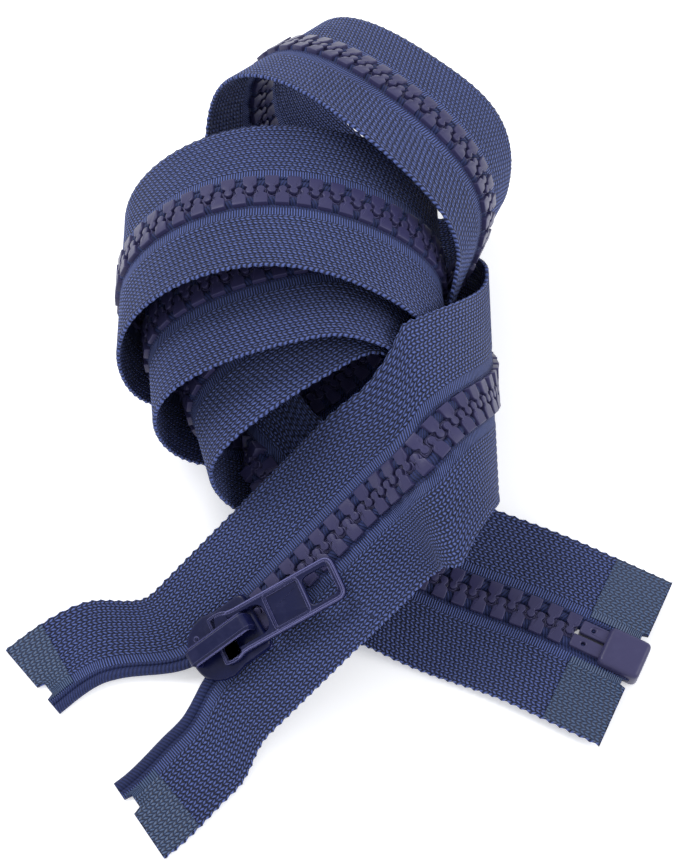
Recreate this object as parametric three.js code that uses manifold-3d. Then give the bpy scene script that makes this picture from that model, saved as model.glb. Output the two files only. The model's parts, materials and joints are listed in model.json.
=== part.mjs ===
// A separating zipper with moulded plastic teeth, closed and wound into a fanned coil.
// Millimetres, +Z up, the table at z = 0, the origin under the middle of the whole coil.
//
// The closed chain runs from the retainer box (path start) through five loops to the slider.
// Across the chain, "right" and "left" are the sides seen by someone who walks along the chain
// on its front face, away from the box.
import * as THREE from "three";
import { mergeVertices } from "three/addons/utils/BufferGeometryUtils.js";
import Module from "manifold-3d";

const wasm = await Module();
wasm.setup();

// ---------------------------------------------------------------- driving dimensions
const PITCH = 3.5; // tooth to tooth on one side
const TAPE_INNER = 3.2; // chain centre to the cord edge of a tape
const TAPE_OUTER = 16; // chain centre to the selvage
const TAPE_THICK = 0.6;
const TOOTH_THICK = 2.4;
const TOOTH_OUTER = 2.9; // chain centre to the back of a tooth
const TOOTH_TIP = -0.65; // the head reaches this far past the chain centre
const ROW_ROOT = 2; // where a tooth leaves the bar of its row
const ROOT_HALF = 1.2;
const TIP_HALF = 0.5;
const STRAIGHT_PITCHES = 9; // the chain runs straight for this many pitches below the slider
const PEEL_PITCHES = 6; // and its last pitches belong to the two sides that can peel apart
const RIGHT_FIRST = 12.25; // first tooth centre from the box end of the tape
const LEFT_FIRST = 14;
const GAP = 0.3; // between pieces that nearly touch

const SLIDER = { half: 6.75, rear: 5.2, nose: 5.75, thick: 5.2, plate: 1.2, yaw: -9 };
const CROWN = { half: 6.15, width: 3.4, under: 5.05, top: 5.9, leg: 1.25 };
const PULLER = { width: 7.6, ear: 8.8, behind: 0.9, length: 23.8, thick: 1.1, axis: 3.7, yaw: -15.5, dip: 0.5 };
const BOX = { width: 7, length: 7.3, thick: 4.2, beyond: 1.2 };
const FILM_THICK = 0.25;

// ---------------------------------------------------------------- materials
const finish = {
  tape: [0x26356e, 0.85, 0],
  tooth: [0x3d3c5c, 0.38, 0],
  resin: [0x2c2e52, 0.35, 0],
  film: [0x3a4c78, 0.4, 0],
  enamel: [0x1b2350, 0.22, 0.4],
  spring: [0x8b8d92, 0.3, 0.9],
};

function material(kind) {
  const [color, roughness, metalness] = finish[kind];
  return new THREE.MeshStandardMaterial({ color, roughness, metalness });
}

function named(name, geometry, kind) {
  const mesh = new THREE.Mesh(geometry, material(kind));
  mesh.name = name;
  return mesh;
}

// ---------------------------------------------------------------- the wound path
// Each station is a point of the chain: x, y, z, then four angles in degrees.
// azimuth and elevation: the way a straight ruling of the tape points, towards the right tape.
// roll: how far the strip has turned about the ruling: 0 climbs the right-hand bend, 90 is on top,
// 180 comes down the left-hand bend and 270 is underneath.
// lead: the slant of the chain to the square of the ruling, where a bend is taken on the diagonal.
const SLIDER_AT = new THREE.Vector3(-18, -42.8, 6);
const CHAIN_DOWN = new THREE.Vector3(-0.698, -0.555, -0.452).normalize();

// A point on the straight stretch, a number of pitches below the slider's middle.
const belowSlider = (pitches) => SLIDER_AT.clone().addScaledVector(CHAIN_DOWN, -pitches * PITCH);

const stations = [
  // the box strand, flat on the table, then its small inner bend
  [49.5, -45.1, 2.3, 63, 0, 90, 0],
  [36.9, -38.7, 2.3, 63, 0, 90, 0],
  [14, -29, 2.8, 70, 4, 80, -5],
  [-5, -21.5, 8.9, 88, 24, 90, -25],
  [-15.5, -8.8, 8, 95, 4, 180, -27],
  [-5, 1, 9.5, 100, 5, 254, -25],
  // loop one
  [9.4, 12, 18.4, 110, 8, 0, 0],
  [-5, 10, 31.2, 122, -3, 90, 0],
  [-25.4, -4.5, 18, 106, -8, 180, 0],
  [-14, -2.3, 4.1, 107, 8, 272, 0],
  [0.4, 3.4, 6.2, 107, 5, 279, 0],
  // loop two
  [13.5, 12.5, 19, 104, 8, 0, 0],
  [-6, 12.3, 36.5, 101, -5, 90, 0],
  [-32.3, 4, 21, 97, -8, 180, 0],
  [-18, 8, 3.4, 102, 7, 270, 0],
  [1, 14.4, 5.6, 101, 4, 279, 0],
  // loop three
  [17.4, 18, 22, 92, 4, 0, 0],
  [-11, 21, 43, 90, -9, 90, 0],
  [-37.4, 15, 22, 92, -10, 180, 0],
  [-20.6, 20.4, 2.3, 90, 5, 270, 0],
  [0, 24.5, 3.9, 84, 4, 274, 0],
  [14.4, 26, 6.2, 80, 0, 290, 0],
  // the far loop
  [25.2, 28, 23, 68, -25, 0, 0],
  [8, 44.5, 42, 48, -25, 90, 0],
  [-14.7, 60, 24, 55, -20, 180, 0],
  [-5, 51, 2.2, 47, 2, 268, 0],
  [9, 26, 1.4, 75, 0, 270, 28],
  // the outer right-hand bend, taken on the diagonal, and the front strand
  [26, 0.4, 17.2, 90, 4, 0, 44],
  [13.9, -19.7, 31.2, 103, 12, 88, 39],
];

const ROUND = 1.15; // tangent length against the chord, for bends of about a quarter turn
const LEAST_SLANT = 0.72; // a ruling is never drawn longer than 1 / 0.72 of the width
const rad = THREE.MathUtils.degToRad;

function direction(azimuth, elevation) {
  const flat = Math.cos(rad(elevation));
  return new THREE.Vector3(
    flat * Math.cos(rad(azimuth)),
    flat * Math.sin(rad(azimuth)),
    Math.sin(rad(elevation)),
  );
}

// The chain point, its direction and the ruling direction at one station.
function knot([x, y, z, azimuth, elevation, roll, lead]) {
  const ruling = direction(azimuth, elevation);
  const side = new THREE.Vector3(Math.sin(rad(azimuth)), -Math.cos(rad(azimuth)), 0);
  const up = side.clone().cross(ruling);
  const normal = side.multiplyScalar(Math.cos(rad(roll))).addScaledVector(up, Math.sin(rad(roll)));
  const along = normal.cross(ruling).multiplyScalar(Math.cos(rad(lead)));
  along.addScaledVector(ruling, -Math.sin(rad(lead)));
  return { point: new THREE.Vector3(x, y, z), along, ruling };
}

const acrossFront = new THREE.Vector3(CHAIN_DOWN.y, -CHAIN_DOWN.x, 0).normalize();
const knots = stations.map(knot);
for (const pitches of [STRAIGHT_PITCHES, PEEL_PITCHES])
  knots.push({ point: belowSlider(pitches), along: CHAIN_DOWN, ruling: acrossFront });

// A point of the path between knots i and i + 1, by Hermite's cubic.
function pathPoint(i, a) {
  const from = knots[i];
  const to = knots[i + 1];
  const reach = ROUND * from.point.distanceTo(to.point);
  const ease = a * a * (3 - 2 * a);
  return from.point
    .clone()
    .multiplyScalar(1 - ease)
    .addScaledVector(to.point, ease)
    .addScaledVector(from.along, reach * a * (1 - a) * (1 - a))
    .addScaledVector(to.along, -reach * a * a * (1 - a));
}

// Rings one tooth pitch apart: centre, along, normal, and the ruling scaled to the strip's width.
function windPath() {
  const STEPS = 60;
  const samples = [];
  for (let i = 0; i + 1 < knots.length; i++)
    for (let k = 0; k < STEPS; k++) samples.push({ i, a: k / STEPS, p: pathPoint(i, k / STEPS) });
  samples.push({ i: knots.length - 2, a: 1, p: pathPoint(knots.length - 2, 1) });
  let total = 0;
  samples.forEach((sample, k) => {
    if (k) total += sample.p.distanceTo(samples[k - 1].p);
    sample.s = total;
  });
  const count = Math.round(total / PITCH);
  const rings = [];
  let k = 1;
  for (let ring = 0; ring <= count; ring++) {
    const s = (ring / count) * total;
    while (k < samples.length - 1 && samples[k].s < s) k++;
    const before = samples[k - 1];
    const after = samples[k];
    const share = (s - before.s) / (after.s - before.s);
    const centre = before.p.clone().lerp(after.p, share);
    const along = after.p.clone().sub(before.p).normalize();
    const a = before.a + share * ((after.i > before.i ? 1 : after.a) - before.a);
    const ruling = knots[before.i].ruling
      .clone()
      .lerp(knots[before.i + 1].ruling, a * a * (3 - 2 * a))
      .normalize();
    rings.push(ringFrom(centre, along, ruling));
  }
  return rings;
}

function ringFrom(centre, along, ruling) {
  const normal = ruling.clone().cross(along);
  const slant = Math.max(normal.length(), LEAST_SLANT);
  return { centre, across: ruling.clone().divideScalar(slant), normal: normal.normalize() };
}

const rings = windPath();

// A point of the strip: ring number (may be fractional), distance across and height above it.
function stripPoint(path, at, across, height) {
  const i = Math.min(Math.floor(at), path.length - 2);
  const share = at - i;
  const corner = (ring) =>
    ring.centre
      .clone()
      .addScaledVector(ring.across, across)
      .addScaledVector(ring.normal, height);
  return corner(path[i]).lerp(corner(path[i + 1]), share);
}

// ---------------------------------------------------------------- solids from points
function solidGeometry(points, faces) {
  const geometry = new THREE.BufferGeometry();
  geometry.setAttribute("position", new THREE.Float32BufferAttribute(points.flatMap((p) => p.toArray()), 3));
  geometry.setIndex(faces.flat());
  geometry.computeVertexNormals();
  return geometry;
}

// Turns every face round when the solid came out inside out.
function outward(points, faces) {
  let volume = 0;
  for (const [a, b, c] of faces) volume += points[a].dot(points[b].clone().cross(points[c]));
  return volume < 0 ? faces.map(([a, b, c]) => [a, c, b]) : faces;
}

// A tape: a thin strip between two distances across the path.
function tapeGeometry(path, inner, outer, thick = TAPE_THICK, lift = 0) {
  const points = [];
  const faces = [];
  const low = lift - thick / 2;
  const high = lift + thick / 2;
  path.forEach((_, i) => {
    const corners = [[inner, low], [outer, low], [outer, high], [inner, high]];
    corners.forEach(([across, height]) => points.push(stripPoint(path, i, across, height)));
    if (i === 0) return;
    for (let side = 0; side < 4; side++) {
      const a = 4 * (i - 1) + side;
      const b = 4 * (i - 1) + ((side + 1) % 4);
      faces.push([a, b, b + 4], [a, b + 4, a + 4]);
    }
  });
  const last = points.length - 4;
  faces.push([0, 2, 1], [0, 3, 2], [last, last + 1, last + 2], [last, last + 2, last + 3]);
  return solidGeometry(points, outward(points, faces));
}

// A row of teeth on one side: a bar along the cord with a tapered tooth at every pitch.
function rowGeometry(path, firstTooth, side) {
  const points = [];
  const faces = [];
  const push = (at, across) => {
    for (const height of [-TOOTH_THICK / 2, TOOTH_THICK / 2])
      points.push(stripPoint(path, at, side * across, height));
  };
  const POINTS = 5; // outer edge, root, tip, tip, root
  const quad = (a, b, c, d) => faces.push([a, b, c], [a, c, d]);
  const wall = (a, b) => quad(2 * a, 2 * b, 2 * b + 1, 2 * a + 1);
  const flat = (a, b, c) => faces.push([2 * a, 2 * c, 2 * b], [2 * a + 1, 2 * b + 1, 2 * c + 1]);
  let teeth = 0;
  for (let at = firstTooth / PITCH; at + ROOT_HALF / PITCH < path.length - 1; at++) {
    push(at - ROOT_HALF / PITCH, TOOTH_OUTER);
    push(at - ROOT_HALF / PITCH, ROW_ROOT);
    push(at - TIP_HALF / PITCH, TOOTH_TIP);
    push(at + TIP_HALF / PITCH, TOOTH_TIP);
    push(at + ROOT_HALF / PITCH, ROW_ROOT);
    const e = POINTS * teeth;
    flat(e + 1, e + 2, e + 3);
    flat(e + 1, e + 3, e + 4);
    flat(e, e + 1, e + 4);
    wall(e + 1, e + 2);
    wall(e + 2, e + 3);
    wall(e + 3, e + 4);
    if (teeth) {
      const before = e - POINTS;
      flat(before + 4, e + 1, e);
      flat(before, before + 4, e);
      wall(before + 4, e + 1);
      wall(e, before);
    }
    teeth++;
  }
  // the bar ends square, at the last tooth's root
  const e = POINTS * (teeth - 1);
  push(firstTooth / PITCH + teeth - 1 + ROOT_HALF / PITCH, TOOTH_OUTER);
  const end = POINTS * teeth;
  flat(e, e + 4, end);
  wall(e + 4, end);
  wall(end, e);
  wall(0, 1);
  return solidGeometry(points, outward(points, faces));
}

// ---------------------------------------------------------------- boolean help
function toSolid(geometry) {
  const bare = geometry.clone();
  bare.deleteAttribute("normal");
  bare.deleteAttribute("uv");
  const merged = mergeVertices(bare, 1e-4);
  return new wasm.Manifold(
    new wasm.Mesh({
      numProp: 3,
      vertProperties: new Float32Array(merged.attributes.position.array),
      triVerts: new Uint32Array(merged.index.array),
    }),
  );
}

function toGeometry(solid) {
  const mesh = solid.getMesh();
  const geometry = new THREE.BufferGeometry();
  geometry.setAttribute("position", new THREE.Float32BufferAttribute(mesh.vertProperties, 3));
  geometry.setIndex(new THREE.Uint32BufferAttribute(mesh.triVerts, 1));
  geometry.computeVertexNormals();
  return geometry;
}

// A flat plate with the outline of a shape, between two heights.
function plate(shape, low, high, curveSegments = 5) {
  const geometry = new THREE.ExtrudeGeometry(shape, {
    depth: high - low,
    bevelEnabled: false,
    curveSegments,
  });
  return geometry.translate(0, 0, low);
}

function outline(points) {
  return new THREE.Shape(points.map(([x, y]) => new THREE.Vector2(x, y)));
}

// A rectangle with round corners, for outlines and for the holes in them.
function roundedRectangle(target, left, bottom, right, top, radius) {
  target.moveTo(left + radius, bottom);
  target.lineTo(right - radius, bottom);
  target.absarc(right - radius, bottom + radius, radius, -Math.PI / 2, 0, false);
  target.lineTo(right, top - radius);
  target.absarc(right - radius, top - radius, radius, 0, Math.PI / 2, false);
  target.lineTo(left + radius, top);
  target.absarc(left + radius, top - radius, radius, Math.PI / 2, Math.PI, false);
  target.lineTo(left, bottom + radius);
  target.absarc(left + radius, bottom + radius, radius, Math.PI, 1.5 * Math.PI, false);
  return target;
}

// ---------------------------------------------------------------- one moulded tooth
// x across the chain, y along it: a block on the cord, a narrow neck and a round head.
function toothShape() {
  const block = 1.15;
  const neck = 0.48;
  const head = 0.78;
  const right = [
    [TOOTH_OUTER, block],
    [1.3, block],
    [0.9, neck],
    [0.4, neck],
    [0.15, head],
    [-0.35, head],
    [TOOTH_TIP, 0.4],
  ];
  const left = right.map(([x, y]) => [x, -y]).reverse();
  return outline([...right, ...left]);
}

function tooth(name, side, y) {
  const geometry = plate(toothShape(), -TOOTH_THICK / 2, TOOTH_THICK / 2);
  const mesh = named(name, geometry, "tooth");
  mesh.position.set(0, y, 0);
  if (side < 0) mesh.rotation.z = Math.PI;
  return mesh;
}

// ---------------------------------------------------------------- the slider
// Its own frame: x to the right tape, y towards the top ends, z out of the front face.
function sliderShape() {
  const { half, rear, nose } = SLIDER;
  const shape = new THREE.Shape();
  shape.moveTo(-rear + 0.6, -half);
  shape.lineTo(rear - 0.6, -half);
  shape.quadraticCurveTo(rear, -half, rear, -half + 0.8);
  shape.lineTo(rear, -1);
  shape.bezierCurveTo(nose, 0.6, nose, 3, nose - 0.9, 4.4);
  shape.bezierCurveTo(nose - 2, half - 0.4, 1.6, half, 0, half);
  shape.bezierCurveTo(-1.6, half, -nose + 2, half - 0.4, -nose + 0.9, 4.4);
  shape.bezierCurveTo(-nose, 3, -nose, 0.6, -rear, -1);
  shape.lineTo(-rear, -half + 0.8);
  shape.quadraticCurveTo(-rear, -half, -rear + 0.6, -half);
  return shape;
}

function sliderBody() {
  const { half, thick, plate: skin } = SLIDER;
  const inside = thick / 2 - skin;
  const wedge = outline([[-0.5, 2.9], [0.5, 2.9], [1.7, half + 1], [-1.7, half + 1]]);
  const channel = outline([
    [-4.3, -half - 1],
    [4.3, -half - 1],
    [4.3, 0.5],
    [8, 3],
    [8, half + 2],
    [-8, half + 2],
    [-8, 3],
    [-4.3, 0.5],
  ]);
  const slot = outline([[-9, -half - 1], [9, -half - 1], [9, half + 2], [-9, half + 2]]);
  const pinHole = outline([[-0.85, 1.1], [0.85, 1.1], [0.85, 2.5], [-0.85, 2.5]]);
  const divider = toSolid(plate(wedge, -inside - 0.1, inside + 0.1));
  const block = toSolid(plate(sliderShape(), -thick / 2, thick / 2));
  const opening = toSolid(plate(channel, -inside, inside)).subtract(divider);
  const tapeSlot = toSolid(plate(slot, -0.6, 0.6)).subtract(divider);
  return toGeometry(
    block.subtract(opening).subtract(tapeSlot).subtract(toSolid(plate(pinHole, 0, thick))),
  );
}

// The crown: a bridge seen from the side, y along the slider and z up, extruded across it.
function crownGeometry() {
  const { half, width, under, top, leg } = CROWN;
  const foot = SLIDER.thick / 2 + 0.05;
  const side = new THREE.Shape();
  side.moveTo(-half, foot);
  side.lineTo(-half + leg, foot);
  side.lineTo(-half + leg, under);
  side.lineTo(half - leg, under);
  side.lineTo(half - leg, foot);
  side.lineTo(half, foot);
  side.lineTo(half, top - 1.2);
  side.quadraticCurveTo(half, top, half - 1.6, top);
  side.lineTo(-half + 1.6, top);
  side.quadraticCurveTo(-half, top, -half, top - 1.2);
  return plate(side, -width / 2, width / 2).rotateX(Math.PI / 2).rotateZ(Math.PI / 2);
}

function springGeometry() {
  const leaf = outline([[-0.9, -3.6], [0.9, -3.6], [0.9, 2.3], [-0.9, 2.3]]);
  return plate(leaf, 4.8, 4.95);
}

function lockPinGeometry() {
  const prong = outline([[-0.5, 1.5], [0.5, 1.5], [0.5, 2.1], [-0.5, 2.1]]);
  return plate(prong, 0.4, 3.5);
}

// The puller lies along -y from its hinge axis, with a slot round the crown and a window.
function pullerGeometry() {
  const { width, ear, behind, length, thick } = PULLER;
  const end = behind - length;
  const shape = new THREE.Shape();
  shape.moveTo(-ear / 2 + 0.8, behind);
  shape.quadraticCurveTo(-ear / 2, behind, -ear / 2, behind - 1);
  shape.bezierCurveTo(-ear / 2, -1.6, -width / 2, -1.8, -width / 2, -3.6);
  shape.lineTo(-width / 2, end + 2);
  shape.quadraticCurveTo(-width / 2, end, -width / 2 + 2, end);
  shape.lineTo(width / 2 - 2, end);
  shape.quadraticCurveTo(width / 2, end, width / 2, end + 2);
  shape.lineTo(width / 2, -3.6);
  shape.bezierCurveTo(width / 2, -1.8, ear / 2, -1.6, ear / 2, behind - 1);
  shape.quadraticCurveTo(ear / 2, behind, ear / 2 - 0.8, behind);
  shape.holes.push(
    roundedRectangle(new THREE.Path(), -2.55, -9, 2.55, -behind, 2.2),
    roundedRectangle(new THREE.Path(), -2.5, end + 1.2, 2.5, end + 6.2, 1),
  );
  return plate(shape, -thick / 2, thick / 2, 4);
}

function makeSlider() {
  const group = new THREE.Group();
  group.add(
    named("slider_body", sliderBody(), "enamel"),
    named("slider_crown", crownGeometry(), "enamel"),
    named("lock_spring", springGeometry(), "spring"),
    named("lock_pin", lockPinGeometry(), "spring"),
  );
  group.rotation.z = rad(SLIDER.yaw);
  return group;
}

function makePuller() {
  const puller = named("puller", pullerGeometry(), "enamel");
  const tilt = new THREE.Group();
  tilt.add(puller);
  tilt.rotation.set(rad(PULLER.dip), 0, 0);
  const group = new THREE.Group();
  group.add(tilt);
  group.position.set(0, 0, PULLER.axis);
  group.rotation.z = rad(PULLER.yaw);
  return group;
}

// ---------------------------------------------------------------- the front strand
const frontFrame = new THREE.Group();
frontFrame.matrix
  .makeBasis(acrossFront, CHAIN_DOWN, acrossFront.clone().cross(CHAIN_DOWN))
  .setPosition(SLIDER_AT);
frontFrame.matrix.decompose(frontFrame.position, frontFrame.quaternion, frontFrame.scale);

// Where the middle of each loose tape end lies after the slider, on the table: x, y, z, heading.
const looseEnds = {
  right: [[-41.4, -40, 1.3, 200], [-51.9, -47, 0.5, 222]],
  left: [[-21.1, -61.7, 1, 224], [-31.5, -72, 0.5, 216]],
};
const TAPE_MIDDLE = (TAPE_INNER + TAPE_OUTER) / 2;
const LOOSE_RINGS = 6;
const STRAIGHT_PAST = 5; // the tapes leave the chain's plane this far past the slider's middle

// Rings down the middle of one loose tape, from the end of the wound tape to its cut top end.
function looseTapePath(side) {
  const across = acrossFront.clone().multiplyScalar(side);
  const start = (y) =>
    SLIDER_AT.clone().addScaledVector(across, TAPE_MIDDLE).addScaledVector(CHAIN_DOWN, y);
  const path = [];
  const first = GAP - PEEL_PITCHES * PITCH;
  for (let k = 0; k <= PEEL_PITCHES + 1; k++) {
    const y = first + (k / (PEEL_PITCHES + 1)) * (STRAIGHT_PAST - first);
    path.push(ringFrom(start(y), CHAIN_DOWN, acrossFront));
  }
  const flat = looseEnds[side > 0 ? "right" : "left"].map(([x, y, z, heading]) => ({
    point: new THREE.Vector3(x, y, z),
    along: direction(heading, 0),
    ruling: direction(heading - 90, 0),
  }));
  const bends = [{ point: start(STRAIGHT_PAST), along: CHAIN_DOWN, ruling: acrossFront }, ...flat];
  for (let i = 0; i + 1 < bends.length; i++)
    for (let k = 1; k <= LOOSE_RINGS; k++)
      path.push(hermiteRing(bends[i], bends[i + 1], k / LOOSE_RINGS));
  return path;
}

function hermiteRing(from, to, a) {
  const reach = from.point.distanceTo(to.point);
  const ease = a * a * (3 - 2 * a);
  const point = from.point
    .clone()
    .multiplyScalar(1 - ease)
    .addScaledVector(to.point, ease)
    .addScaledVector(from.along, reach * a * (1 - a) * (1 - a))
    .addScaledVector(to.along, -reach * a * a * (1 - a));
  const along = from.along.clone().lerp(to.along, a).normalize();
  const ruling = from.ruling.clone().lerp(to.ruling, a);
  ruling.addScaledVector(along, -ruling.dot(along)).normalize();
  return ringFrom(point, along, ruling);
}

function stopGeometry(side) {
  const inner = 1.7 * side;
  const outer = TOOTH_OUTER * side;
  const left = Math.min(inner, outer);
  const block = roundedRectangle(new THREE.Shape(), left, 1.7, left + 1.2, 4, 0.4);
  return plate(block, -TOOTH_THICK / 2, TOOTH_THICK / 2, 2);
}

function addFrontStrand(root) {
  const halfWidth = TAPE_OUTER - TAPE_MIDDLE;
  for (const [word, side, stagger] of [["right", 1, 0.5], ["left", -1, 0]]) {
    const path = looseTapePath(side);
    root.add(named(`${word}_tape_top`, tapeGeometry(path, -halfWidth, halfWidth), "tape"));
    const film = filmGeometry(path.slice(-4).reverse(), 0.3 - halfWidth, halfWidth - 0.3);
    root.add(named(`${word}_top_film`, film, "film"));
    for (let k = 0; k + stagger <= PEEL_PITCHES; k++) {
      const number = String(k + 1).padStart(2, "0");
      frontFrame.add(tooth(`${word}_tooth_${number}`, side, -PITCH * (k + stagger)));
    }
    frontFrame.add(named(`${word}_top_stop`, stopGeometry(side), "resin"));
  }
  frontFrame.add(makeSlider(), makePuller());
  root.add(frontFrame);
}

// ---------------------------------------------------------------- the box end
// Its own frame: x to the right tape, y along the chain from the cut end, z out of the front.
const boxFrame = new THREE.Group();
boxFrame.position.copy(knots[0].point);
boxFrame.rotation.z = rad(stations[0][3]);

function retainerBox() {
  const { width, length, thick, beyond } = BOX;
  const shape = roundedRectangle(new THREE.Shape(), -width / 2, -beyond, width / 2, length - beyond, 1);
  const cap = toSolid(plate(shape, -thick / 2, thick / 2, 3));
  const mouth = outline([[-4, 0], [4, 0], [4, 8], [-4, 8]]);
  const tapeGap = toSolid(plate(mouth, -0.65, 0.65));
  const bore = outline([[-2.7, 0.6], [2.7, 0.6], [2.7, 8], [-2.7, 8]]);
  return toGeometry(cap.subtract(tapeGap).subtract(toSolid(plate(bore, -1.3, 1.3))));
}

// A long moulded pin on the cord: it enters the box, and ends short of the first tooth.
function pinGeometry(side, end, width) {
  const near = 0.25 * side;
  const far = (0.25 + width) * side;
  const left = Math.min(near, far);
  const shape = roundedRectangle(new THREE.Shape(), left, 0.9, left + width, end, 0.3);
  return plate(shape, -1, 1, 2);
}

// A stiff film bonded on the front of a tape, over the first rings of a path.
function filmGeometry(path, inner, outer) {
  const lift = TAPE_THICK / 2 + 0.05 + FILM_THICK / 2;
  return tapeGeometry(path, inner, outer, FILM_THICK, lift);
}

function addBoxEnd(root) {
  boxFrame.add(
    named("retainer_box", retainerBox(), "resin"),
    named("retainer_pin", pinGeometry(-1, RIGHT_FIRST - TIP_HALF - GAP, 2.35), "resin"),
    named("insertion_pin", pinGeometry(1, RIGHT_FIRST - ROOT_HALF - GAP, 2.35), "resin"),
  );
  root.add(boxFrame);
  for (const [word, side] of [["right", 1], ["left", -1]]) {
    const inner = side * (BOX.width / 2 + 0.4);
    const outer = side * (TAPE_OUTER - 0.3);
    root.add(named(`${word}_bottom_film`, filmGeometry(rings.slice(0, 4), inner, outer), "film"));
  }
}

// ---------------------------------------------------------------- the assembly
const group = new THREE.Group();

for (const [word, side] of [["right", 1], ["left", -1]]) {
  const first = side > 0 ? RIGHT_FIRST : LEFT_FIRST;
  group.add(named(`${word}_tape`, tapeGeometry(rings, side * TAPE_INNER, side * TAPE_OUTER), "tape"));
  group.add(named(`${word}_tooth_row`, rowGeometry(rings, first, side), "tooth"));
}
addFrontStrand(group);
addBoxEnd(group);

// The origin goes under the middle of the whole coil, at table height.
group.updateMatrixWorld(true);
const extent = new THREE.Box3().setFromObject(group, true);
const middle = extent.getCenter(new THREE.Vector3());
group.position.set(-middle.x, -middle.y, -extent.min.z);

export default group;
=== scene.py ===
"""Looks of the wound separating zipper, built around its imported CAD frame.

Lengths are in millimetres, and new_mesh() turns them into Blender's metres.
Across the chain, "right" and "left" are the sides seen by someone who walks along the chain
on its front face, away from the retainer box.
"""

import itertools
import json
import math

import bmesh
import bpy
import numpy as np
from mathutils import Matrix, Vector
from mathutils.geometry import tessellate_polygon


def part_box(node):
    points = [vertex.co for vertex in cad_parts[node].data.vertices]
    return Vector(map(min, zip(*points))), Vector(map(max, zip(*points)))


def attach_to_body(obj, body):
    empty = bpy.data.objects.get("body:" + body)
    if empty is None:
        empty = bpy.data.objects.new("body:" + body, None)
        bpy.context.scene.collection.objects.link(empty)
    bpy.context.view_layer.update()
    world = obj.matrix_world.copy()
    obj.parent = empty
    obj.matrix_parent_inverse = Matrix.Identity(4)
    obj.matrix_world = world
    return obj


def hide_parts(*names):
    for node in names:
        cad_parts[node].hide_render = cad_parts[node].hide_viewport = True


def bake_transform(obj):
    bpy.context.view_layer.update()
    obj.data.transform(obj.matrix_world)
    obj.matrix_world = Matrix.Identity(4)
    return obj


MM = 0.001
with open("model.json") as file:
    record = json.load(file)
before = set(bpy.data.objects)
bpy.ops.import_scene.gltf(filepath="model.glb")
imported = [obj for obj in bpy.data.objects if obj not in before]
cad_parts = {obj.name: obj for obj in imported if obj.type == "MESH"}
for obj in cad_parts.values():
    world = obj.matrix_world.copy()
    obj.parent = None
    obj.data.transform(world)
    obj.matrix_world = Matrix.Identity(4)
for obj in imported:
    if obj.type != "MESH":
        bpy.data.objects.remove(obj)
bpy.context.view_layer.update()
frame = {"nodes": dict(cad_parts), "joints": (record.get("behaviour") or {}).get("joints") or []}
joints = {joint["name"]: joint for joint in frame["joints"]}

# ------------------------------------------------------------------ dimensions
PITCH = 3.5  # between the teeth of one side
# distances from the chain's centre line, across a tape
TAPE_INNER = 3.2  # the edge of the CAD tape
TAPE_OUTER = 16.0
CORD_INNER = 1.05  # the woven cord starts inside the teeth
CORD_MIDDLE = 1.87
CORD_HALF_WIDTH = 0.83
PIPING_MIDDLE = 3.2
PIPING_HALF_WIDTH = 0.35
CORD_END = 3.5  # a band of fine rungs starts here
LADDER_END = 5.1  # the knitted rows start here
ROW = 1.05  # the width of one knitted row
STITCH = 0.875  # the length of one stitch
RUNG = STITCH / 2
# half thicknesses of a tape
CORD_HALF = 0.8
PIPING_HALF = 0.42
LADDER_HALF = 0.27
KNIT_HALF = 0.24
ROW_RISE = 0.14
SELVAGE_RISE = 0.06
BEAD_RISE = 0.08
# films at the tape ends
FILM_INNER = 3.9
FILM_OUTER = TAPE_OUTER - 0.2
FILM_LIFT = 0.33
FILM_THICK = 0.2
FILM_LONG = 2.9  # a film starts this far from the tape's end, in rings of the CAD tape
FILM_SHORT = 0.05  # and stops this far from it, in rings
# steps along the tape between the rings of a mesh
TAPE_STEP = RUNG
FILM_STEP = 0.4
# teeth
FIRST_TOOTH = {1: 3.5, -1: 4.0}  # first tooth of a row, in pitches from the box end
TOOTH_HALF = 1.2  # half the thickness of a tooth
TOOTH_OUTER = 3.05
HEAD_RADIUS = 0.7
# the opening tapes
PEEL_PITCHES = 6  # from the slider up to the hinges
BLEND_BEFORE = 1.0  # a turn of the tape would start this far before its hinge; that point is worked out but not used
BLEND_AFTER = 6.0
# slider and puller; heights are over the chain's middle plane, and angles are in degrees
PLATE_INNER = 1.4
PLATE_OUTER = 2.6
PULLER_AXIS = 3.7
SLIDER_YAW = -9.0
PULLER_YAW = -15.5
PULLER_DIP = 0.5
# a notch in the end of a tape: its inner and outer sides, its depth, and whether it's at the box
BOX_NOTCH = (3.7, 5.0, 1.0, True)
TOP_NOTCH = (4.3, 6.9, 1.4, False)
NOTCH_REACH = 3.5  # the tape's mesh is moved over this length to make a notch
JOIN_START = -0.11  # a loose tape starts a little before its first ring, to meet the wound one
WORDS = {1: "right", -1: "left"}


# ------------------------------------------------------------------ strips, read from the CAD tapes
def unit(v):
    v = np.asarray(v, float)
    return v / np.linalg.norm(v, axis=-1, keepdims=True)


def joint_vector(name, key):
    return np.array(joints[name][key], float)


CHAIN_DOWN = -unit(joint_vector("slider_travel", "axis"))  # towards the top ends
FRONT = unit(joint_vector("lock_pin_lift", "axis"))  # out of the front face at the slider
ACROSS = np.cross(CHAIN_DOWN, FRONT)  # towards the right tape
SLIDER_AT = joint_vector("puller_swing", "pos_m") / MM - FRONT * PULLER_AXIS


def welded(name):
    """The CAD node's points, without doubles, and which point is linked to which."""
    mesh = frame["nodes"][name].data
    corners = np.array([v.co for v in mesh.vertices]) / MM
    points, back = np.unique(np.round(corners, 3), axis=0, return_inverse=True)
    back = back.ravel()
    links = [set() for _ in points]
    for edge in mesh.edges:
        a, b = (back[v] for v in edge.vertices)
        links[a].add(b)
        links[b].add(a)
    return points, links


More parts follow.
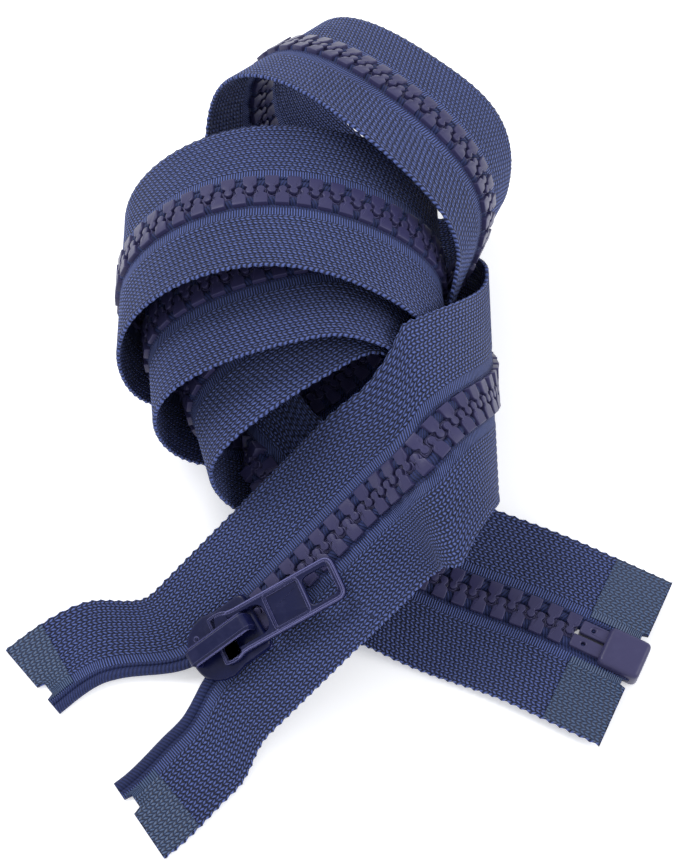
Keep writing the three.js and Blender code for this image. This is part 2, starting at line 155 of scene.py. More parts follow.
def tape_rings(name, outwards, near, up):
    """Rings of four corners along a tape: inner low, outer low, outer high, inner high."""
    points, links = welded(name)
    start = np.argsort(-(points @ outwards))[:4]
    start = sorted(start, key=lambda k: np.linalg.norm(points[k] - near))
    low_high = [sorted(pair, key=lambda k: points[k] @ up) for pair in (start[:2], start[2:])]
    (inner_low, inner_high), (outer_low, outer_high) = low_high
    ring = [inner_low, outer_low, outer_high, inner_high]
    rings = [ring]
    seen = set(ring)
    while True:
        following = sorted({n for k in ring for n in links[k]} - seen)
        if len(following) != 4:
            break
        before = points[ring] - points[ring].mean(axis=0)
        middle = points[following].mean(axis=0)
        ring = min(
            itertools.permutations(following),
            key=lambda order: np.abs(points[list(order)] - middle - before).sum(),
        )
        ring = list(ring)
        rings.append(ring)
        seen.update(ring)
    return points[np.array(rings)]


class Strip:
    """A smooth strip through rings: the chain's centre line and the ruling across it."""

    def __init__(self, rings, side, stops=None):
        inner = (rings[:, 0] + rings[:, 3]) / 2
        outer = (rings[:, 1] + rings[:, 2]) / 2
        self.across = side * (outer - inner) / (TAPE_OUTER - TAPE_INNER)
        self.centre = inner - side * TAPE_INNER * self.across
        steps = np.linalg.norm(np.diff((inner + outer) / 2, axis=0), axis=1)
        self.stops = np.concatenate([[0.0], np.cumsum(steps)]) if stops is None else stops
        self.side = side

    def spline(self, values, at):
        """Catmull-Rom through values at the ring numbers, for fractional ring numbers at."""
        i = np.clip(np.floor(at).astype(int), 0, len(values) - 2)
        a = (at - i)[:, None]
        padded = np.concatenate(
            [2 * values[:1] - values[1:2], values, 2 * values[-1:] - values[-2:-1]]
        )
        p0, p1, p2, p3 = (padded[i + k] for k in range(4))
        return p1 + 0.5 * a * (
            p2 - p0 + a * (2 * p0 - 5 * p1 + 4 * p2 - p3 + a * (3 * (p1 - p2) + p3 - p0))
        )

    def fine_rings(self, first, last, step):
        """Distances along the tape between two ring numbers, evenly apart."""
        ends = np.interp([first, last], np.arange(len(self.stops)), self.stops)
        ends[0] += min(first, 0) * self.stops[1]
        return np.linspace(*ends, max(2, int(round((ends[1] - ends[0]) / step)) + 1))

    def notched(self, along, across, notch):
        """Ring numbers for a grid of points, with a notch cut into one end of the tape."""
        inner, outer, depth, from_start = notch
        ends = self.stops[[0, -1]]
        near = 1 - np.abs(along - (ends[0] if from_start else ends[1])) / NOTCH_REACH
        inside = (across > inner) & (across < outer)
        shift = depth * np.clip(near, 0, 1)[:, None] * inside[None, :]
        moved = along[:, None] + (shift if from_start else -shift)
        before_start = np.minimum(moved - self.stops[0], 0) / self.stops[1]
        return np.interp(moved, self.stops, np.arange(len(self.stops))) + before_start

    def frames(self, at):
        """Centre, ruling, chain direction and front normal at ring numbers."""
        at = np.asarray(at, float)
        centre = self.spline(self.centre, at)
        across = self.spline(self.across, at)
        near = 0.02
        along = unit(self.spline(self.centre, at + near) - self.spline(self.centre, at - near))
        normal = unit(np.cross(across, along))
        return centre, across, along, normal


def box_middle(node):
    low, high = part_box(node)
    return np.array(low + high) / 2 / MM


pins_middle = (box_middle("retainer_pin") + box_middle("insertion_pin")) / 2
box_outwards = unit((box_middle("retainer_box") - pins_middle) * (1, 1, 0))
strips = {}
loose = {}
for side, word in WORDS.items():
    rings = tape_rings(f"{word}_tape", box_outwards, box_middle("retainer_box"), (0, 0, 1))
    strips[side] = Strip(rings, side, np.arange(len(rings)) * PITCH)
    hinge = joint_vector(f"{word}_stringer_peel", "pos_m") / MM
    rings = tape_rings(f"{word}_tape_top", -CHAIN_DOWN, hinge, FRONT)
    loose[side] = Strip(rings, side)


# ------------------------------------------------------------------ meshes
def new_mesh(name, vertices, faces, material, sharp=35.0):
    """An object from points in millimetres, faces outwards; edges past an angle stay crisp."""
    mesh = bpy.data.meshes.new(name)
    mesh.from_pydata((np.asarray(vertices) * MM).tolist(), [], faces)
    solid = bmesh.new()
    solid.from_mesh(mesh)
    bmesh.ops.recalc_face_normals(solid, faces=solid.faces)
    solid.to_mesh(mesh)
    solid.free()
    mesh.polygons.foreach_set("use_smooth", [True] * len(mesh.polygons))
    mesh.set_sharp_from_angle(angle=math.radians(sharp))
    mesh.materials.append(material)
    obj = bpy.data.objects.new(name, mesh)
    bpy.context.scene.collection.objects.link(obj)
    return obj


def attach(obj, body, slot, *nodes):
    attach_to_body(obj, body)
    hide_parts(*nodes)
    return obj


def add_value(obj, name, values):
    """A number at every vertex, for the materials to read."""
    attribute = obj.data.attributes.new(name, "FLOAT", "POINT")
    attribute.data.foreach_set("value", np.asarray(values, np.float32).ravel())


def turned(points, origin, x_axis, y_axis, z_axis):
    return origin + points @ np.array([x_axis, y_axis, z_axis])


def spun(x_axis, y_axis, degrees):
    """Two axes turned in their own plane."""
    c, s = math.cos(math.radians(degrees)), math.sin(math.radians(degrees))
    return c * x_axis + s * y_axis, c * y_axis - s * x_axis


# ------------------------------------------------------------------ outlines
def mirrored(half):
    """A closed outline, counter-clockwise, from its right half listed from bottom to top."""
    return np.array(half + [(-x, y) for x, y in reversed(half) if abs(x) > 1e-9])


def filleted(points, radius, count=4):
    """The outline with each corner replaced by an arc. radius is one number or one per point."""
    points = [np.array(p, float) for p in points]
    radii = np.broadcast_to(radius, len(points))
    out = []
    for k, p in enumerate(points):
        before = unit(points[k - 1] - p)
        after = unit(points[(k + 1) % len(points)] - p)
        half = math.acos(max(-1.0, min(1.0, before @ after))) / 2
        nearly_straight = half > math.radians(88)
        if radii[k] == 0 or nearly_straight:
            out.append(p)
            continue
        reach = radii[k] / math.tan(half)
        a, b = p + before * reach, p + after * reach
        for t in np.linspace(0, 1, count + 1):
            out.append((1 - t) ** 2 * a + 2 * t * (1 - t) * p + t * t * b)
    return np.array(out)


def rectangle(left, bottom, right, top, radius, count=5):
    corners = [(left, bottom), (right, bottom), (right, top), (left, top)]
    return filleted(corners, radius, count)


def circle(x, y, radius, count=12):
    around = np.linspace(0, 2 * math.pi, count, endpoint=False)
    return np.column_stack([x + radius * np.cos(around), y + radius * np.sin(around)])


def inset(loop, distance):
    """The outline moved to its left, which is into the material."""
    before = unit(loop - np.roll(loop, 1, axis=0))
    after = unit(np.roll(loop, -1, axis=0) - loop)
    normal = unit(before + after)[:, ::-1] * (-1, 1)
    cosine = np.einsum("ij,ij->i", normal, before[:, ::-1] * (-1, 1))
    stretch = np.clip(cosine, 0.5, 1)
    return loop + normal * (distance / stretch)[:, None]


def plate(loops, low, high, top_bevel, low_bevel=None, count=3):
    """Points and faces of a flat plate with rounded edges.

    loops are the outline and then its holes, all counter-clockwise. low and high are the plate's
    faces, and count is the number of steps round an edge.
    """
    low_bevel = top_bevel if low_bevel is None else low_bevel
    loops = [np.asarray(loop, float) for loop in loops]
    loops = [loops[0]] + [loop[::-1] for loop in loops[1:]]
    arc = np.linspace(0, math.pi / 2, count + 1)
    levels = [(low_bevel * (1 - math.sin(a)), low + low_bevel * (1 - math.cos(a))) for a in arc]
    levels += [(top_bevel * (1 - math.cos(a)), high - top_bevel * (1 - math.sin(a))) for a in arc]
    points = []
    faces = []
    for distance, height in levels:
        for loop in loops:
            flat = inset(loop, distance)
            points.append(np.column_stack([flat, np.full(len(flat), height)]))
    size = sum(len(loop) for loop in loops)
    for level in range(len(levels) - 1):
        start = level * size
        for loop in loops:
            n = len(loop)
            for k in range(n):
                a, b = start + k, start + (k + 1) % n
                faces.append((a, b, b + size, a + size))
            start += n
    caps = [[Vector((x, y, 0)) for x, y in loop] for loop in loops]
    top = (len(levels) - 1) * size
    for a, b, c in tessellate_polygon(caps):
        faces.append((top + a, top + b, top + c))
        faces.append((a, c, b))
    return np.concatenate(points), faces


def joined(parts):
    """One list of points and one of faces from several."""
    points = []
    faces = []
    count = 0
    for part_points, part_faces in parts:
        points.append(part_points)
        faces += [tuple(count + k for k in face) for face in part_faces]
        count += len(part_points)
    return np.concatenate(points), faces


# ------------------------------------------------------------------ node materials
class Field:
    """A number in a material's node tree, with ordinary arithmetic."""

    def __init__(self, tree, socket):
        self.tree = tree
        self.socket = socket

    def math(self, operation, *others):
        node = self.tree.nodes.new("ShaderNodeMath")
        node.operation = operation
        for k, value in enumerate((self, *others)):
            if isinstance(value, Field):
                self.tree.links.new(value.socket, node.inputs[k])
            else:
                node.inputs[k].default_value = value
        return Field(self.tree, node.outputs[0])

    def __add__(self, other):
        return self.math("ADD", other)

    def __sub__(self, other):
        return self.math("SUBTRACT", other)

    def __mul__(self, other):
        return self.math("MULTIPLY", other)

    def __truediv__(self, other):
        return self.math("DIVIDE", other)

    def power(self, other):
        return self.math("MAXIMUM", 0.0).math("POWER", other)

    def fraction(self):
        return self.math("FRACT")

    def hump(self):
        """0 at whole numbers, 1 half way between them."""
        return (self.fraction() * math.pi).math("SINE")

    def above(self, edge, softness):
        """0 below an edge and 1 above it."""
        node = self.tree.nodes.new("ShaderNodeMapRange")
        node.interpolation_type = "SMOOTHSTEP"
        self.tree.links.new(self.socket, node.inputs["Value"])
        node.inputs["From Min"].default_value = edge - softness
        node.inputs["From Max"].default_value = edge + softness
        return Field(self.tree, node.outputs[0])

    def mix(self, low, high):
        """low where this is 0 and high where it is 1."""
        return high * self + low * (self * -1.0 + 1.0)


def new_material(name, color, roughness, **inputs):
    material = bpy.data.materials.new(name)
    material.use_nodes = True
    tree = material.node_tree
    shader = tree.nodes["Principled BSDF"]
    shader.inputs["Base Color"].default_value = (*color, 1)
    shader.inputs["Roughness"].default_value = roughness
    for key, value in inputs.items():
        shader.inputs[key.replace("_", " ")].default_value = value
    return material, tree, shader


def attribute(tree, name):
    node = tree.nodes.new("ShaderNodeAttribute")
    node.attribute_name = name
    return Field(tree, node.outputs["Fac"])


def noise(tree, scale, detail=3.0):
    """Object-space noise, about 0 to 1; scale in cycles per metre."""
    place = tree.nodes.new("ShaderNodeTexCoord")
    node = tree.nodes.new("ShaderNodeTexNoise")
    node.inputs["Scale"].default_value = scale
    node.inputs["Detail"].default_value = detail
    tree.links.new(place.outputs["Object"], node.inputs["Vector"])
    return Field(tree, node.outputs[0])


def edge_mask(tree, radius):
    """About 1 on edges and 0 on flat faces; it places the painted edge highlight."""
    bevel = tree.nodes.new("ShaderNodeBevel")
    bevel.samples = 8
    bevel.inputs["Radius"].default_value = radius * MM
    geometry = tree.nodes.new("ShaderNodeNewGeometry")
    dot = tree.nodes.new("ShaderNodeVectorMath")
    dot.operation = "DOT_PRODUCT"
    tree.links.new(bevel.outputs[0], dot.inputs[0])
    tree.links.new(geometry.outputs["True Normal"], dot.inputs[1])
    return (Field(tree, dot.outputs["Value"]) * -1.0 + 1.0).above(0.12, 0.12)


def ramp(tree, field, *stops):
    """Colour along a field: (position, colour) stops."""
    node = tree.nodes.new("ShaderNodeValToRGB")
    elements = node.color_ramp.elements
    while len(elements) < len(stops):
        elements.new(0.5)
    for element, (position, color) in zip(elements, stops):
        element.position = position
        element.color = (*color, 1)
    tree.links.new(field.socket, node.inputs[0])
    return node.outputs[0]


def bump(tree, shader, height, distance):
    node = tree.nodes.new("ShaderNodeBump")
    node.inputs["Strength"].default_value = 1.0
    node.inputs["Distance"].default_value = distance * MM
    tree.links.new(height.socket, node.inputs["Height"])
    tree.links.new(node.outputs[0], shader.inputs["Normal"])


def knit_height(tree):
    """The relief of the tape: slanting stitches in rows, fine rungs beside the teeth, a cord."""
    soft = 0.08
    twist = 0.6
    along = attribute(tree, "along")
    across = attribute(tree, "across")
    wobble = noise(tree, 700.0) * 0.5 - 0.25
    row = (across - LADDER_END) / ROW + wobble * 0.35
    in_row = row.fraction()
    odd = row.math("FLOOR") * 0.37
    slant = (in_row - 0.5).math("ABSOLUTE") * 1.1
    stitch = along / STITCH + odd + slant + wobble
    strand = (row * 2.0).hump().power(0.6)
    knit = strand * (stitch.hump().power(0.9) * 0.85 + 0.15)
    rungs = (along / RUNG + wobble * 0.3).hump().power(0.8) * 0.75 + 0.05
    cord = (along / twist + across * 0.8).hump() * 0.2 + 0.3
    height = across.above(LADDER_END, soft).mix(rungs, knit)
    return across.above(CORD_END, soft).mix(cord, height)


def tape_material(name, colors, roughness, relief):
    """Woven or filmed tape. colors: painted shade in the gaps, the yarn, and a painted highlight on
    its highest strands.
    """
    material, tree, shader = new_material(name, colors[1], roughness, Sheen_Weight=0.12)
    shader.inputs["Sheen Roughness"].default_value = 0.4
    shader.inputs["Sheen Tint"].default_value = (0.45, 0.5, 0.9, 1)
    height = knit_height(tree)
    patchy = noise(tree, 60.0) * 0.25 - 0.12
    shade = height + patchy + noise(tree, 4000.0) * 0.2 - 0.1
    # the ramp follows the relief: painted shade in its low parts, a painted highlight on its high
    # strands
    color = ramp(tree, shade, (0.2, colors[0]), (0.5, colors[1]), (0.85, colors[2]))
    tree.links.new(color, shader.inputs["Base Color"])
    bump(tree, shader, height, relief)
    return material


def moulded_material(name, color, edge_highlight_color, roughness, edge, metallic=0.0):
    """A hard surface: a painted highlight along its edges, faint mottling and orange peel."""
    material, tree, shader = new_material(name, color, roughness, Metallic=metallic)
    shader.inputs["Specular IOR Level"].default_value = 0.25
    mottled = noise(tree, 350.0) * 0.5 - 0.25
    # a painted highlight along the edges, on top of random mottling
    shade = edge_mask(tree, edge) * 0.8 + mottled * 0.35
    colors = ramp(tree, shade, (0.0, color), (0.8, edge_highlight_color))
    tree.links.new(colors, shader.inputs["Base Color"])
    worn = mottled * 0.25 + roughness
    tree.links.new(worn.socket, shader.inputs["Roughness"])
    bump(tree, shader, noise(tree, 2500.0), 0.02)
    return material


# colours of both tapes: painted shade in the gaps, the yarn, a painted highlight on the highest
# strands
knit = tape_material(
    "knit", ((0.0008, 0.0015, 0.012), (0.01, 0.02, 0.1), (0.1, 0.145, 0.42)), 0.8, 0.7
)
film = tape_material(
    "film", ((0.004, 0.008, 0.026), (0.018, 0.036, 0.1), (0.06, 0.1, 0.2)), 0.4, 0.2
)
# the second colour of each hard material is a painted highlight along its edges
tooth_plastic = moulded_material(
    "tooth_plastic", (0.036, 0.034, 0.095), (0.16, 0.155, 0.32), 0.34, 0.25
)
resin = moulded_material("resin", (0.045, 0.042, 0.105), (0.2, 0.2, 0.38), 0.3, 0.3)
enamel = moulded_material("enamel", (0.003, 0.005, 0.04), (0.16, 0.16, 0.36), 0.3, 0.3)
steel = moulded_material("steel", (0.4, 0.41, 0.44), (0.7, 0.71, 0.75), 0.25, 0.1, metallic=1.0)


# ------------------------------------------------------------------ tapes
def dome(x, middle, half_width, height):
    """The upper half of an ellipse, and 0 beside it."""
    return height * np.sqrt(np.clip(1 - ((x - middle) / half_width) ** 2, 0, 1))


def half_thickness(across, along):
    """Half the thickness of the tape: a round cord, piping, a ladder band, rows and a selvage."""
    cord = dome(across, CORD_MIDDLE, CORD_HALF_WIDTH, CORD_HALF)
    piping = dome(across, PIPING_MIDDLE, PIPING_HALF_WIDTH, PIPING_HALF)
    rows = np.abs(np.sin(math.pi * (across - LADDER_END) / ROW))
    body = np.where(across > LADDER_END, KNIT_HALF + ROW_RISE * rows, LADDER_HALF)
    beads = 0.5 + 0.5 * np.cos(2 * math.pi * along / STITCH)
    selvage = np.clip((across - TAPE_OUTER + 0.8) / 0.5, 0, 1)
    body = body + selvage * (SELVAGE_RISE + BEAD_RISE * beads)
    rounded_edge = np.sqrt(np.clip((TAPE_OUTER + 0.02 - across) / 0.35, 0, 1))
    web = 0.1  # joins the cord to its piping
    flat = np.where(across > CORD_END - 0.3, body, web) * rounded_edge
    return np.maximum(np.maximum(cord, piping), flat)


def tape_columns():
    """Where a tape's mesh has columns: close together on the cord, and three to a row."""
    return np.concatenate(
        [
            np.linspace(CORD_INNER, CORD_MIDDLE + CORD_HALF_WIDTH - 0.02, 8),
            np.linspace(PIPING_MIDDLE - PIPING_HALF_WIDTH + 0.01, CORD_END + 0.15, 6),
            np.linspace(CORD_END + 0.5, LADDER_END, 5),
            np.arange(LADDER_END + ROW / 3, TAPE_OUTER - 0.4, ROW / 3),
            [TAPE_OUTER - 0.25, TAPE_OUTER - 0.05],
        ]
    )


def tape_mesh(name, strip, first, last, notch):
    """The woven tape of a strip between two ring numbers, with fine rings TAPE_STEP apart."""
    across = tape_columns()
    stitches = strip.fine_rings(first, last, TAPE_STEP)
    count = len(stitches)
    profile = np.concatenate([across, across[::-1]])
    at = strip.notched(stitches, profile, notch)
    centre, ruling, _, normal = strip.frames(at.ravel())
    shape = (count, len(profile), 3)
    centre, ruling, normal = (v.reshape(shape) for v in (centre, ruling, normal))
    face = np.concatenate([np.ones(len(across)), -np.ones(len(across))])
    thickness = half_thickness(profile[None, :], stitches[:, None])
    scallop = 0.16 * np.cos(math.pi * stitches / STITCH)
    at_selvage = np.clip((profile - TAPE_OUTER + 0.8) / 0.8, 0, 1)
    reach = profile[None, :] + scallop[:, None] * at_selvage[None, :]
    points = (
        centre
        + ruling * (strip.side * reach)[..., None]
        + normal * (thickness * face[None, :])[..., None]
    )
    n = len(profile)
    index = np.arange(count * n).reshape(count, n)
    nearer = index[:-1]
    farther = index[1:]
    around = np.stack(
        [nearer, np.roll(nearer, -1, 1), np.roll(farther, -1, 1), farther], axis=-1
    ).reshape(-1, 4)
    faces = around.tolist()
    half = len(across)
    for ring in (index[0], index[-1]):
        high, low = ring[:half], ring[half:][::-1]
        faces += np.stack([high[:-1], high[1:], low[1:], low[:-1]], axis=-1).tolist()
    obj = new_mesh(name, points.reshape(-1, 3), faces, knit, 80.0)
    add_value(obj, "along", np.repeat(stitches, n))
    add_value(obj, "across", np.tile(profile, count))
    return obj


for side, word in WORDS.items():
    last = len(strips[side].centre) - 1
    tape = tape_mesh(f"{word}_woven_tape", strips[side], 0.0, last, BOX_NOTCH)
    attach(tape, "coil", "tape", f"{word}_tape")
    last = len(loose[side].centre) - 1
    top = tape_mesh(f"{word}_woven_top", loose[side], JOIN_START, last, TOP_NOTCH)
    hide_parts(f"{word}_tape_top")
    hinge = SLIDER_AT - CHAIN_DOWN * PEEL_PITCHES * PITCH
    start = (hinge - BLEND_BEFORE * CHAIN_DOWN) * MM
    end = (hinge + BLEND_AFTER * CHAIN_DOWN) * MM
    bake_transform(top)


# ------------------------------------------------------------------ teeth
def tooth_outline():
    """One moulded tooth seen from the front: a block, a neck and a round head at -x."""
    block = [(TOOTH_OUTER, 1.16), (1.35, 1.16), (1.02, 1.0), (0.78, 0.6), (0.66, 0.44)]
    arc = np.radians(np.linspace(40, 180, 10))
    head = [(HEAD_RADIUS * math.cos(a) - 0.08, HEAD_RADIUS * math.sin(a)) for a in arc]
    upper = block + head
    lower = [(x, -y) for x, y in reversed(upper[:-1])]
    radii = [0.18, 0.3, 0.2, 0.2] + [0.0] * (len(upper) - 4)
    radii += radii[:-1][::-1]
    return filleted(upper + lower, radii, 3)


def tooth_solid():
    """The tooth, with the thin ledge round its middle that locks into its neighbours."""
    body = plate([tooth_outline()], -TOOTH_HALF, TOOTH_HALF, 0.17, count=3)
    ledge = plate([rectangle(-1.1, -0.87, 1.3, 0.87, 0.5)], -0.3, 0.3, 0.05, count=1)
    return joined([body, ledge])


tooth_points, tooth_faces = tooth_solid()


def tooth_row(name, strip):
    """All the teeth of one side of the wound chain."""
    side = strip.side
    margin = 0.3
    at = np.arange(FIRST_TOOTH[side], len(strip.centre) - 1 - margin, 1.0)
    centre, _, along, normal = strip.frames(at)
    across = np.cross(along, normal)
    parts = []
    for k in range(len(at)):
        points = turned(tooth_points, centre[k], side * across[k], side * along[k], normal[k])
        parts.append((points, tooth_faces))
    points, faces = joined(parts)
    return new_mesh(name, points, faces, tooth_plastic)


for side, word in WORDS.items():
    row = tooth_row(f"{word}_moulded_row", strips[side])
    attach(row, "coil", "tooth", f"{word}_tooth_row")
    stagger = 0.5 if side > 0 else 0.0
    for k in range(PEEL_PITCHES + (side < 0)):
        middle = SLIDER_AT - CHAIN_DOWN * PITCH * (k + stagger)
        points = turned(tooth_points, middle, side * ACROSS, side * CHAIN_DOWN, FRONT)
        tooth = new_mesh(f"{word}_moulded_{k + 1:02d}", points, tooth_faces, tooth_plastic)
        attach(tooth, f"{word}_flap", "tooth", f"{word}_tooth_{k + 1:02d}")
    stop = plate([rectangle(1.7, 1.7, 2.95, 4.0, 0.4)], -TOOTH_HALF, TOOTH_HALF, 0.25)
    points = turned(stop[0] * (side, 1, 1), SLIDER_AT, ACROSS, CHAIN_DOWN, FRONT)
    obj = new_mesh(f"{word}_moulded_stop", points, stop[1], resin)
    attach(obj, f"{word}_flap", "resin", f"{word}_top_stop")


# ------------------------------------------------------------------ slider
def slider_outline():
    """The slider's plate: square at the rear, round at the nose, waisted between them."""
    half_length, nose, rear, waist = 6.75, 5.75, 5.2, 1.2
    right = [(0, -half_length), (rear, -half_length), (rear, -waist), (nose, waist + 0.2)]
    arc = np.radians(np.linspace(20, 90, 9))
    for a in arc[:-1]:
        right.append((nose * math.cos(a) ** 0.8, waist + (half_length - waist) * math.sin(a)))
    right.append((0, half_length))
    outline = mirrored(right)
    radii = [0.0] * len(outline)
    for k in (1, 2):
        radii[k] = radii[-k] = 1.2
    return filleted(outline, radii, 4)


def slider_shell():
    """The two plates, the rivet's head and the rails that guide the tapes."""
    outline = slider_outline()
    parts = [
        plate([outline], PLATE_INNER, PLATE_OUTER, 0.55, 0.15, 4),
        plate([outline], -PLATE_OUTER, -PLATE_INNER, 0.15, 0.55, 4),
        plate([circle(3.0, 4.0, 0.4)], PLATE_OUTER - 0.2, PLATE_OUTER + 0.25, 0.15, 0.02),
    ]
    for sign in (1, -1):
        rail = [(4.4, -6.4), (5.15, -6.4), (5.15, -0.9), (4.7, -0.9), (4.4, -1.8)]
        rail = np.array(rail) * (sign, 1)
        rail = filleted(rail if sign > 0 else rail[::-1], 0.2)
        for low, high in ((-1.5, -0.6), (0.6, 1.5)):
            parts.append(plate([rail], low, high, 0.1))
    return joined(parts)


def slider_wedge():
    """The diamond between the plates that parts the two rows of teeth."""
    outline = filleted([(-0.4, 2.9), (0.4, 2.9), (0.9, 6.2), (-0.9, 6.2)], 0.2)
    return plate([outline], -1.5, 1.5, 0.05)


x_slider, y_slider = spun(ACROSS, CHAIN_DOWN, SLIDER_YAW)
shell_points, shell_faces = slider_shell()
wedge_points, wedge_faces = slider_wedge()
points, faces = joined(
    [
        (turned(shell_points, SLIDER_AT, x_slider, y_slider, FRONT), shell_faces),
        (turned(wedge_points, SLIDER_AT, ACROSS, CHAIN_DOWN, FRONT), wedge_faces),
    ]
)
attach(new_mesh("slider_shell", points, faces, enamel), "slider", "enamel", "slider_body")


def crown_solid():
    """The bridge over the puller, seen from the side and given its width."""
    reach, leg = 6.15, 4.9
    foot, under, top = 2.4, 5.05, 5.9
    half_width = 1.65
    side_view = [
        (-reach, foot),
        (-leg, foot),
        (-leg, under),
        (leg, under),
        (leg, foot),
        (reach, foot),
        (reach, top),
        (-reach, top),
    ]
    outline = filleted(side_view, [0, 0, 0.3, 0.3, 0, 0, 1.3, 1.3], 5)
    points, faces = plate([outline], -half_width, half_width, 0.55, count=1)
    return points[:, [2, 0, 1]], faces


points, faces = crown_solid()
points = turned(points, SLIDER_AT, x_slider, y_slider, FRONT)
attach(new_mesh("crown_bridge", points, faces, enamel), "slider", "enamel", "slider_crown")
for node in ("lock_spring", "lock_pin"):
    frame["nodes"][node].data.materials.clear()
    frame["nodes"][node].data.materials.append(steel)


def puller_solid():
    """The puller, flat on its back: slot and window, a sunk panel, and lips round both."""
    width, ear = 3.8, 4.4
    tip, behind = -22.9, 0.9
    right = [
        (0, tip),
        (width, tip),
        (width, -3.9),
        (width + 0.1, -2.9),
        (ear - 0.1, -1.9),
        (ear, -0.6),
        (ear - 0.2, behind),
        (0, behind),
    ]
    outline = mirrored(right)
    radii = np.zeros(len(outline))
    radii[1] = radii[-1] = 1.8
    for k in (3, 4, 5, 6):
        radii[k] = radii[-k] = 0.5
    outline = filleted(outline, radii, 5)
    slot = rectangle(-2.55, -9.0, 2.55, -0.9, 2.2, 7)
    window = rectangle(-2.5, -21.7, 2.5, -16.7, 1.0)
    panel = rectangle(-2.75, -15.9, 2.75, -9.9, 0.35)
    base = plate([outline, slot, window], -0.55, 0.15, 0.08, 0.2)
    rim = plate([outline, slot, window, panel], 0.1, 0.4, 0.2, 0.02)
    lip = (0.3, 0.55, 0.1, 0.02)
    outer_lip = plate([inset(outline, 0.15), inset(outline, 0.6)], *lip)
    panel_lip = plate([inset(panel, -0.4), panel], *lip)
    return joined([base, rim, outer_lip, panel_lip])


x_puller, y_puller = spun(ACROSS, CHAIN_DOWN, PULLER_YAW)
y_tilted, z_tilted = spun(y_puller, FRONT, PULLER_DIP)
points, faces = puller_solid()
points = turned(points, SLIDER_AT + FRONT * PULLER_AXIS, x_puller, y_tilted, z_tilted)
attach(new_mesh("puller_tab", points, faces, enamel), "puller", "enamel", "puller")


# ------------------------------------------------------------------ box end
BOX_AT = strips[1].centre[0]
box_along = -box_outwards
box_across = np.cross(box_along, (0, 0, 1))


def box_piece(name, solid, node):
    points, faces = solid
    points = turned(points, BOX_AT, box_across, box_along, np.array([0, 0, 1.0]))
    attach(new_mesh(name, points, faces, resin), "coil", "resin", node)


CAP_HALF_WIDTH, CAP_END, CAP_MOUTH, CAP_HALF = 3.5, -1.2, 6.1, 2.1
cap_outline = rectangle(-CAP_HALF_WIDTH, CAP_END, CAP_HALF_WIDTH, CAP_MOUTH, 1.1)
box_piece("box_cap", plate([cap_outline], -CAP_HALF, CAP_HALF, 0.8, count=4), "retainer_box")
# each pin's left and right sides and its end
PINS = {"retainer_pin": (-2.6, -0.25, 11.45), "insertion_pin": (0.25, 2.6, 10.75)}
PIN_HALF = 1.25
for node, (left, right, end) in PINS.items():
    dimple = circle((left + right) / 2, end - 2.2, 0.35)
    body = rectangle(left, CAP_MOUTH - 0.6, right, end, 0.5)
    pin = plate([body, dimple], -PIN_HALF, PIN_HALF, 0.3)
    box_piece(f"{node}_moulded", pin, node)


def film_mesh(name, strip, first, last, notch):
    """A stiff film on the front of the tape, with the weave showing through."""
    stitches = strip.fine_rings(first, last, FILM_STEP)
    across = np.linspace(FILM_INNER, FILM_OUTER, 25)
    at = strip.notched(stitches, across, notch)
    shape = (len(stitches), len(across), 3)
    centre, ruling, normal = (strip.frames(at.ravel())[k].reshape(shape) for k in (0, 1, 3))
    middle = centre + ruling * (strip.side * across)[None, :, None]
    layers = [middle + normal * height for height in (FILM_LIFT, FILM_LIFT + FILM_THICK)]
    rows, columns = len(stitches), len(across)
    index = np.arange(2 * rows * columns).reshape(2, rows, columns)
    faces = []
    for grid in index:
        quads = np.stack([grid[:-1, :-1], grid[1:, :-1], grid[1:, 1:], grid[:-1, 1:]], axis=-1)
        faces += quads.reshape(-1, 4).tolist()
    rim = np.concatenate(
        [index[:, 0, :-1], index[:, :-1, -1], index[:, -1, :0:-1], index[:, :0:-1, 0]], axis=1
    )
    for k in range(rim.shape[1]):
        n = (k + 1) % rim.shape[1]
        faces.append([rim[0, k], rim[0, n], rim[1, n], rim[1, k]])
    obj = new_mesh(name, np.concatenate(layers).reshape(-1, 3), faces, film, 60.0)
    add_value(obj, "along", np.tile(np.repeat(stitches, columns), 2))
    add_value(obj, "across", np.tile(across, 2 * rows))
    return obj


for side, word in WORDS.items():
    bottom = film_mesh(f"{word}_film_low", strips[side], FILM_SHORT, FILM_LONG, BOX_NOTCH)
    attach(bottom, "coil", "film", f"{word}_bottom_film")
    last = len(loose[side].centre) - 1
    first = last - FILM_LONG
    top = film_mesh(f"{word}_film_high", loose[side], first, last - FILM_SHORT, TOP_NOTCH)
    attach(top, f"{word}_flap", "film", f"{word}_top_film")


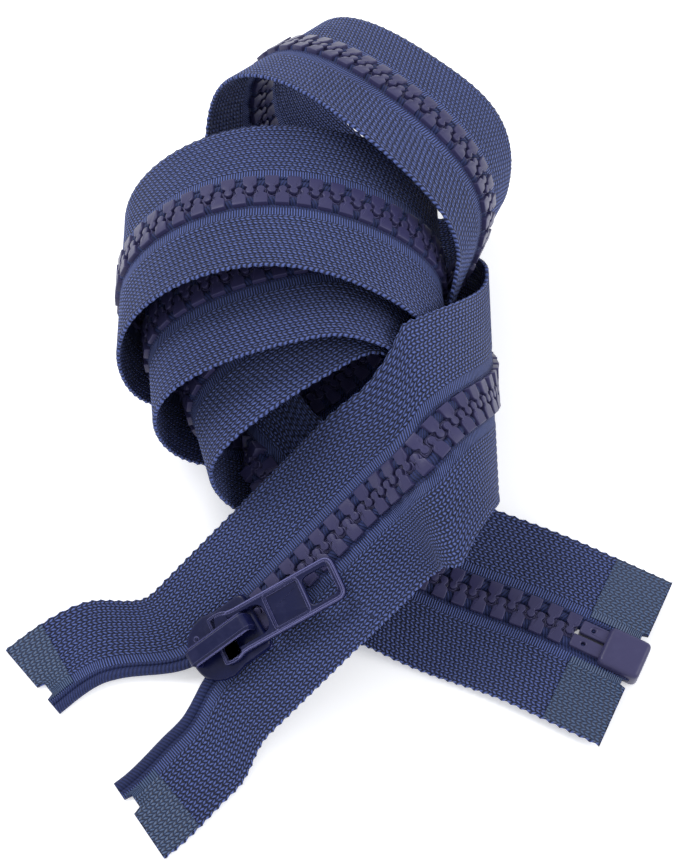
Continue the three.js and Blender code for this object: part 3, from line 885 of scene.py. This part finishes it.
# ------------------------------------------------------------------ studio
FITTED_SLIDER = (-18.0, -42.8, 6.0)  # the slider as seen from the point the camera aims at
CAMERA_ELEVATION = 62.0
CAMERA_DISTANCE = 0.3  # metres
CAMERA_LENS = 69.6


def add_floor():
    """White paper with a faint glow, so that it stays pale away from the lamps."""
    material, _, shader = new_material("paper", (0.93, 0.93, 0.94), 0.9)
    shader.inputs["Emission Color"].default_value = (1, 1, 1, 1)
    shader.inputs["Emission Strength"].default_value = 0.35
    half = 2000.0
    corners = [(-half, -half, 0), (half, -half, 0), (half, half, 0), (-half, half, 0)]
    floor = new_mesh("floor", corners, [(0, 1, 2, 3)], material)
    floor.location.z = -0.0001


def add_light(name, place, size, power):
    """A square soft light that faces the coil. place and size are in metres, power in watts."""
    data = bpy.data.lights.new(name, "AREA")
    data.size = size
    data.energy = power
    light = bpy.data.objects.new(name, data)
    light.location = place
    light.rotation_euler = (-Vector(place)).to_track_quat("-Z", "Y").to_euler()
    bpy.context.scene.collection.objects.link(light)


def add_camera():
    """Looks down on the coil from the front, at CAMERA_ELEVATION above the table."""
    elevation = math.radians(CAMERA_ELEVATION)
    aim = Vector((SLIDER_AT - FITTED_SLIDER) * MM)
    data = bpy.data.cameras.new("camera")
    data.lens = CAMERA_LENS
    data.clip_start = 0.01
    camera = bpy.data.objects.new("camera", data)
    back = Vector((0, -math.cos(elevation), math.sin(elevation)))
    camera.location = aim + back * CAMERA_DISTANCE
    camera.rotation_euler = (math.pi / 2 - elevation, 0, 0)
    bpy.context.scene.collection.objects.link(camera)
    bpy.context.scene.camera = camera


def add_world():
    world = bpy.data.worlds.new("studio")
    world.use_nodes = True
    background = world.node_tree.nodes["Background"]
    background.inputs["Color"].default_value = (0.95, 0.97, 1, 1)
    background.inputs["Strength"].default_value = 0.8
    bpy.context.scene.world = world


add_floor()
add_light("key", (-0.35, 0.25, 0.55), 0.3, 2.6)
add_light("fill", (0.5, -0.1, 0.35), 0.35, 1.3)
add_camera()
add_world()
bpy.context.scene.view_settings.view_transform = "Standard"
